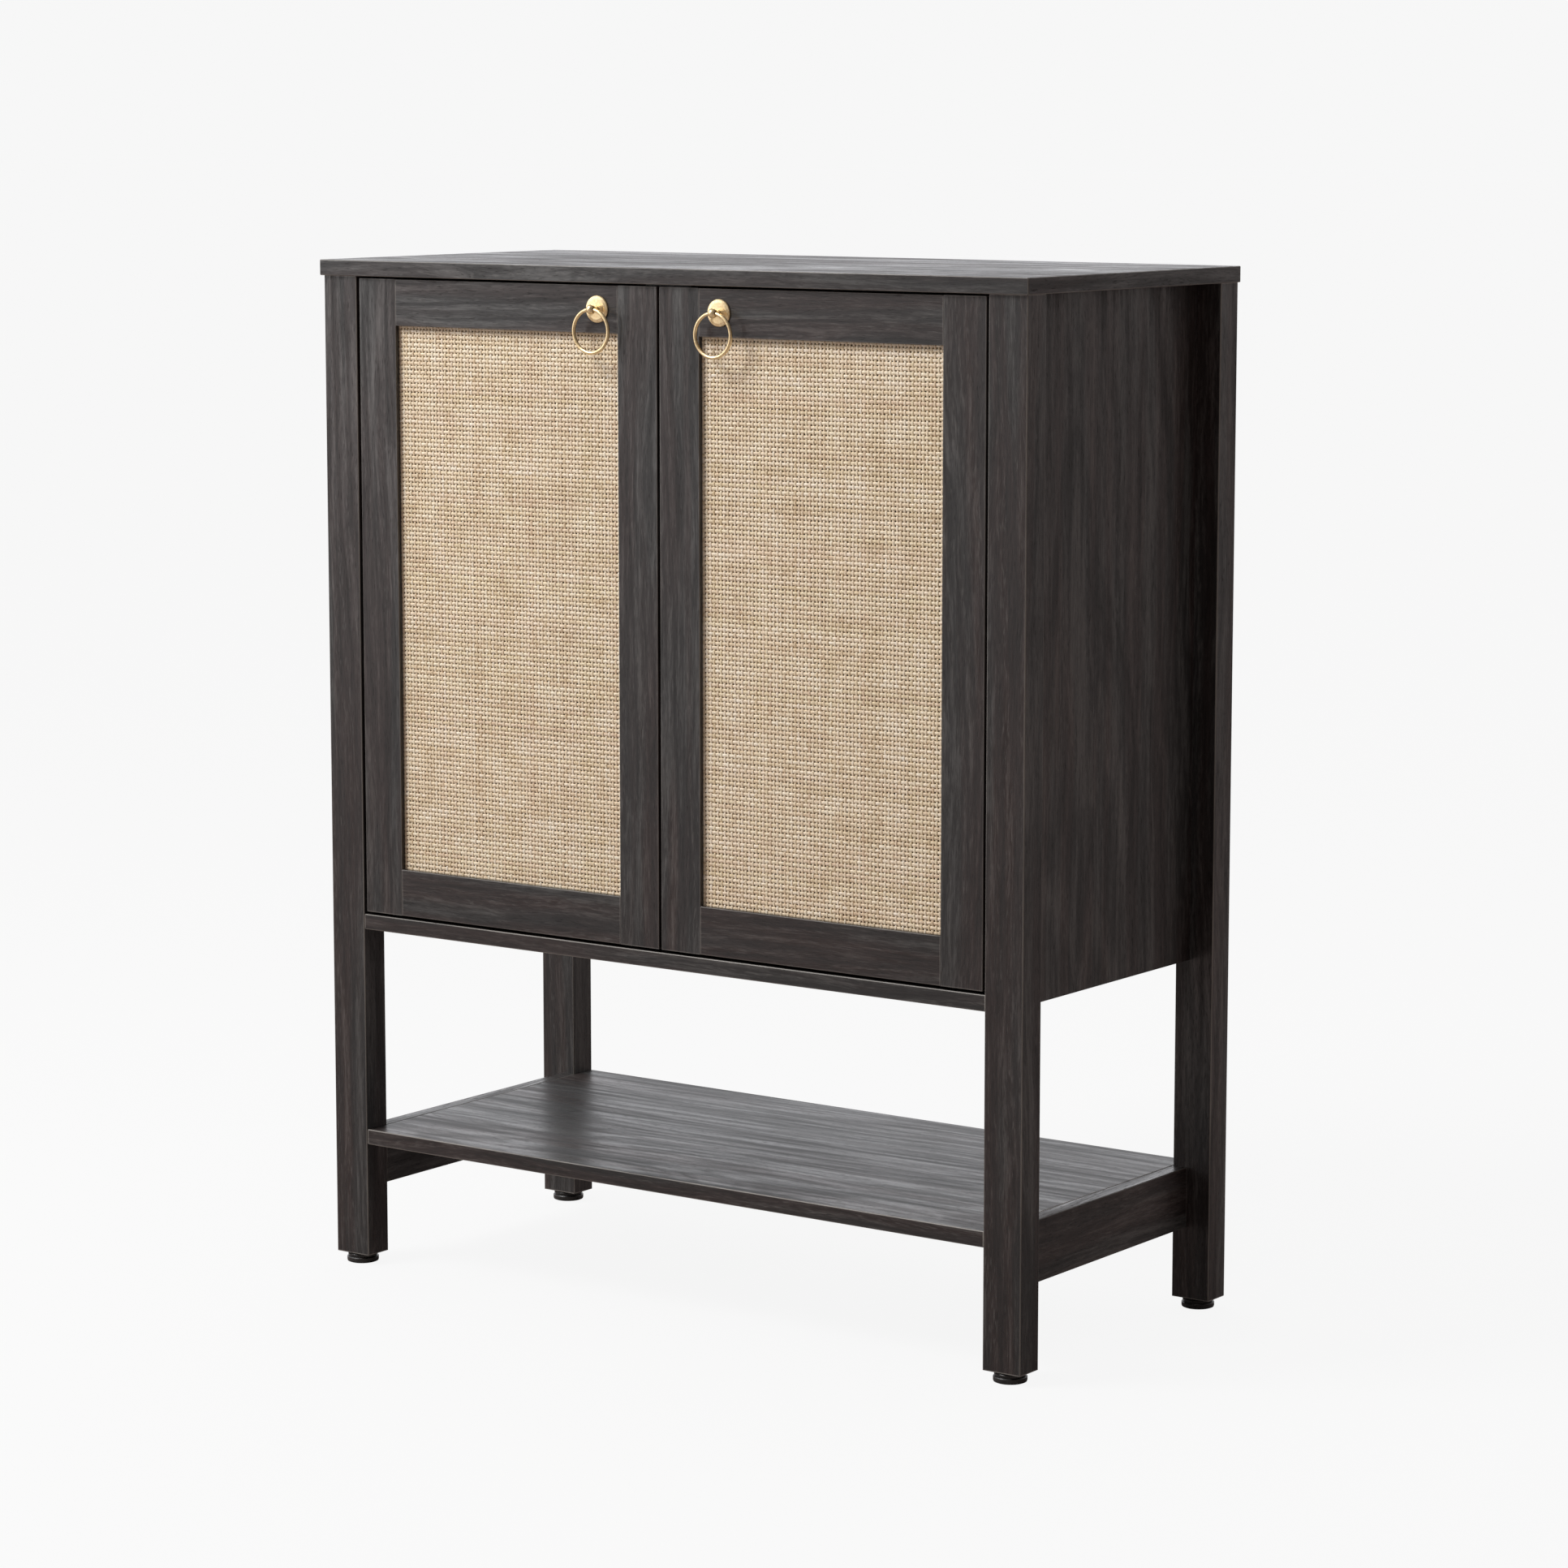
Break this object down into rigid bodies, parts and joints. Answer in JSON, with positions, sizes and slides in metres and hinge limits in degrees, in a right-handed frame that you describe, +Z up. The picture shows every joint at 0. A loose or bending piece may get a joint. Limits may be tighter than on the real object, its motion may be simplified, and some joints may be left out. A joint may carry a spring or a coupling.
{
  "type": "shoe cabinet",
  "caption": "Dark wood shoe cabinet on legs with hinged woven-rattan doors, brass ring pulls, inner shelves and an open lower shoe shelf.",
  "frame": {"origin": "on the floor, under the middle of the whole cabinet's box, ring pulls included", "axes": "+Z up from the floor to the top panel, -Y out of the doors, +X to the right of someone facing the doors"},
  "size_m": [0.805, 0.3698, 0.981],
  "materials": {
    "dark_wood": "embossed black-oak woodgrain laminate, satin",
    "back_board": "dark laminated hardboard",
    "rattan": "plain-woven natural cane",
    "brass": "satin brass",
    "steel": "nickel-plated steel",
    "black_plastic": "moulded black plastic",
    "catch_plastic": "moulded plastic",
    "beech": "fluted beech dowel"
  },
  "bodies": {
    "cabinet": {"back_panel": "back_board", "bottom_panel": "dark_wood", "cam_bolts": "steel", "cam_locks": "steel", "dowels": "beech", "foot_inserts": "black_plastic", "hinge_plate_screws": "steel", "inner_shelf_lower": "dark_wood", "inner_shelf_middle": "dark_wood", "inner_shelf_upper": "dark_wood", "left_hinge_arms": "steel", "left_hinge_plates": "steel", "leg_front_left": "dark_wood", "leg_front_right": "dark_wood", "leg_rear_left": "dark_wood", "leg_rear_right": "dark_wood", "lower_rail_left": "dark_wood", "lower_rail_right": "dark_wood", "lower_shelf": "dark_wood", "magnet_catch": "catch_plastic", "right_hinge_arms": "steel", "right_hinge_plates": "steel", "shelf_pins": "steel", "side_panel_left": "dark_wood", "side_panel_right": "dark_wood", "top_panel": "dark_wood"},
    "door_left": {"left_door_bottom_rail": "dark_wood", "left_door_dowels": "beech", "left_door_hinge_stile": "dark_wood", "left_door_meeting_stile": "dark_wood", "left_door_rattan_panel": "rattan", "left_door_retaining_strips": "dark_wood", "left_door_top_rail": "dark_wood", "left_hinge_cup_screws": "steel", "left_hinge_cups": "steel", "left_hinge_pins": "steel", "left_pull_backplate": "brass", "left_pull_post": "brass", "left_pull_screw": "steel", "left_strike_plate": "steel"},
    "door_right": {"right_door_bottom_rail": "dark_wood", "right_door_dowels": "beech", "right_door_hinge_stile": "dark_wood", "right_door_meeting_stile": "dark_wood", "right_door_rattan_panel": "rattan", "right_door_retaining_strips": "dark_wood", "right_door_top_rail": "dark_wood", "right_hinge_cup_screws": "steel", "right_hinge_cups": "steel", "right_hinge_pins": "steel", "right_pull_backplate": "brass", "right_pull_post": "brass", "right_pull_screw": "steel", "right_strike_plate": "steel"},
    "ring_left": {"left_pull_ring": "brass"},
    "ring_right": {"right_pull_ring": "brass"},
    "front_left_foot": {"foot_front_left": "black_plastic"},
    "front_right_foot": {"foot_front_right": "black_plastic"},
    "rear_left_foot": {"foot_rear_left": "black_plastic"},
    "rear_right_foot": {"foot_rear_right": "black_plastic"}
  },
  "joints": [
    {"name": "door_left_hinge", "type": "hinge", "parent": "cabinet", "child": "door_left", "pos_m": [-0.344, -0.16305, 0.658], "axis": [0, 0, -1], "range_deg": [0, 95]},
    {"name": "door_right_hinge", "type": "hinge", "parent": "cabinet", "child": "door_right", "pos_m": [0.344, -0.16305, 0.658], "axis": [0, 0, 1], "range_deg": [0, 95]},
    {"name": "ring_left_swing", "type": "hinge", "parent": "door_left", "child": "ring_left", "pos_m": [-0.0695, -0.18055, 0.942], "axis": [-1, 0, 0], "range_deg": [-10, 120]},
    {"name": "ring_right_swing", "type": "hinge", "parent": "door_right", "child": "ring_right", "pos_m": [0.0695, -0.18055, 0.942], "axis": [-1, 0, 0], "range_deg": [-10, 120]},
    {"name": "front_left_foot_turn", "type": "hinge", "parent": "cabinet", "child": "front_left_foot", "pos_m": [-0.38, -0.15655, 0.01], "axis": [0, 0, 1], "continuous": true},
    {"name": "front_right_foot_turn", "type": "hinge", "parent": "cabinet", "child": "front_right_foot", "pos_m": [0.38, -0.15655, 0.01], "axis": [0, 0, 1], "continuous": true},
    {"name": "rear_left_foot_turn", "type": "hinge", "parent": "cabinet", "child": "rear_left_foot", "pos_m": [-0.38, 0.16945, 0.01], "axis": [0, 0, 1], "continuous": true},
    {"name": "rear_right_foot_turn", "type": "hinge", "parent": "cabinet", "child": "rear_right_foot", "pos_m": [0.38, 0.16945, 0.01], "axis": [0, 0, 1], "continuous": true}
  ]
}
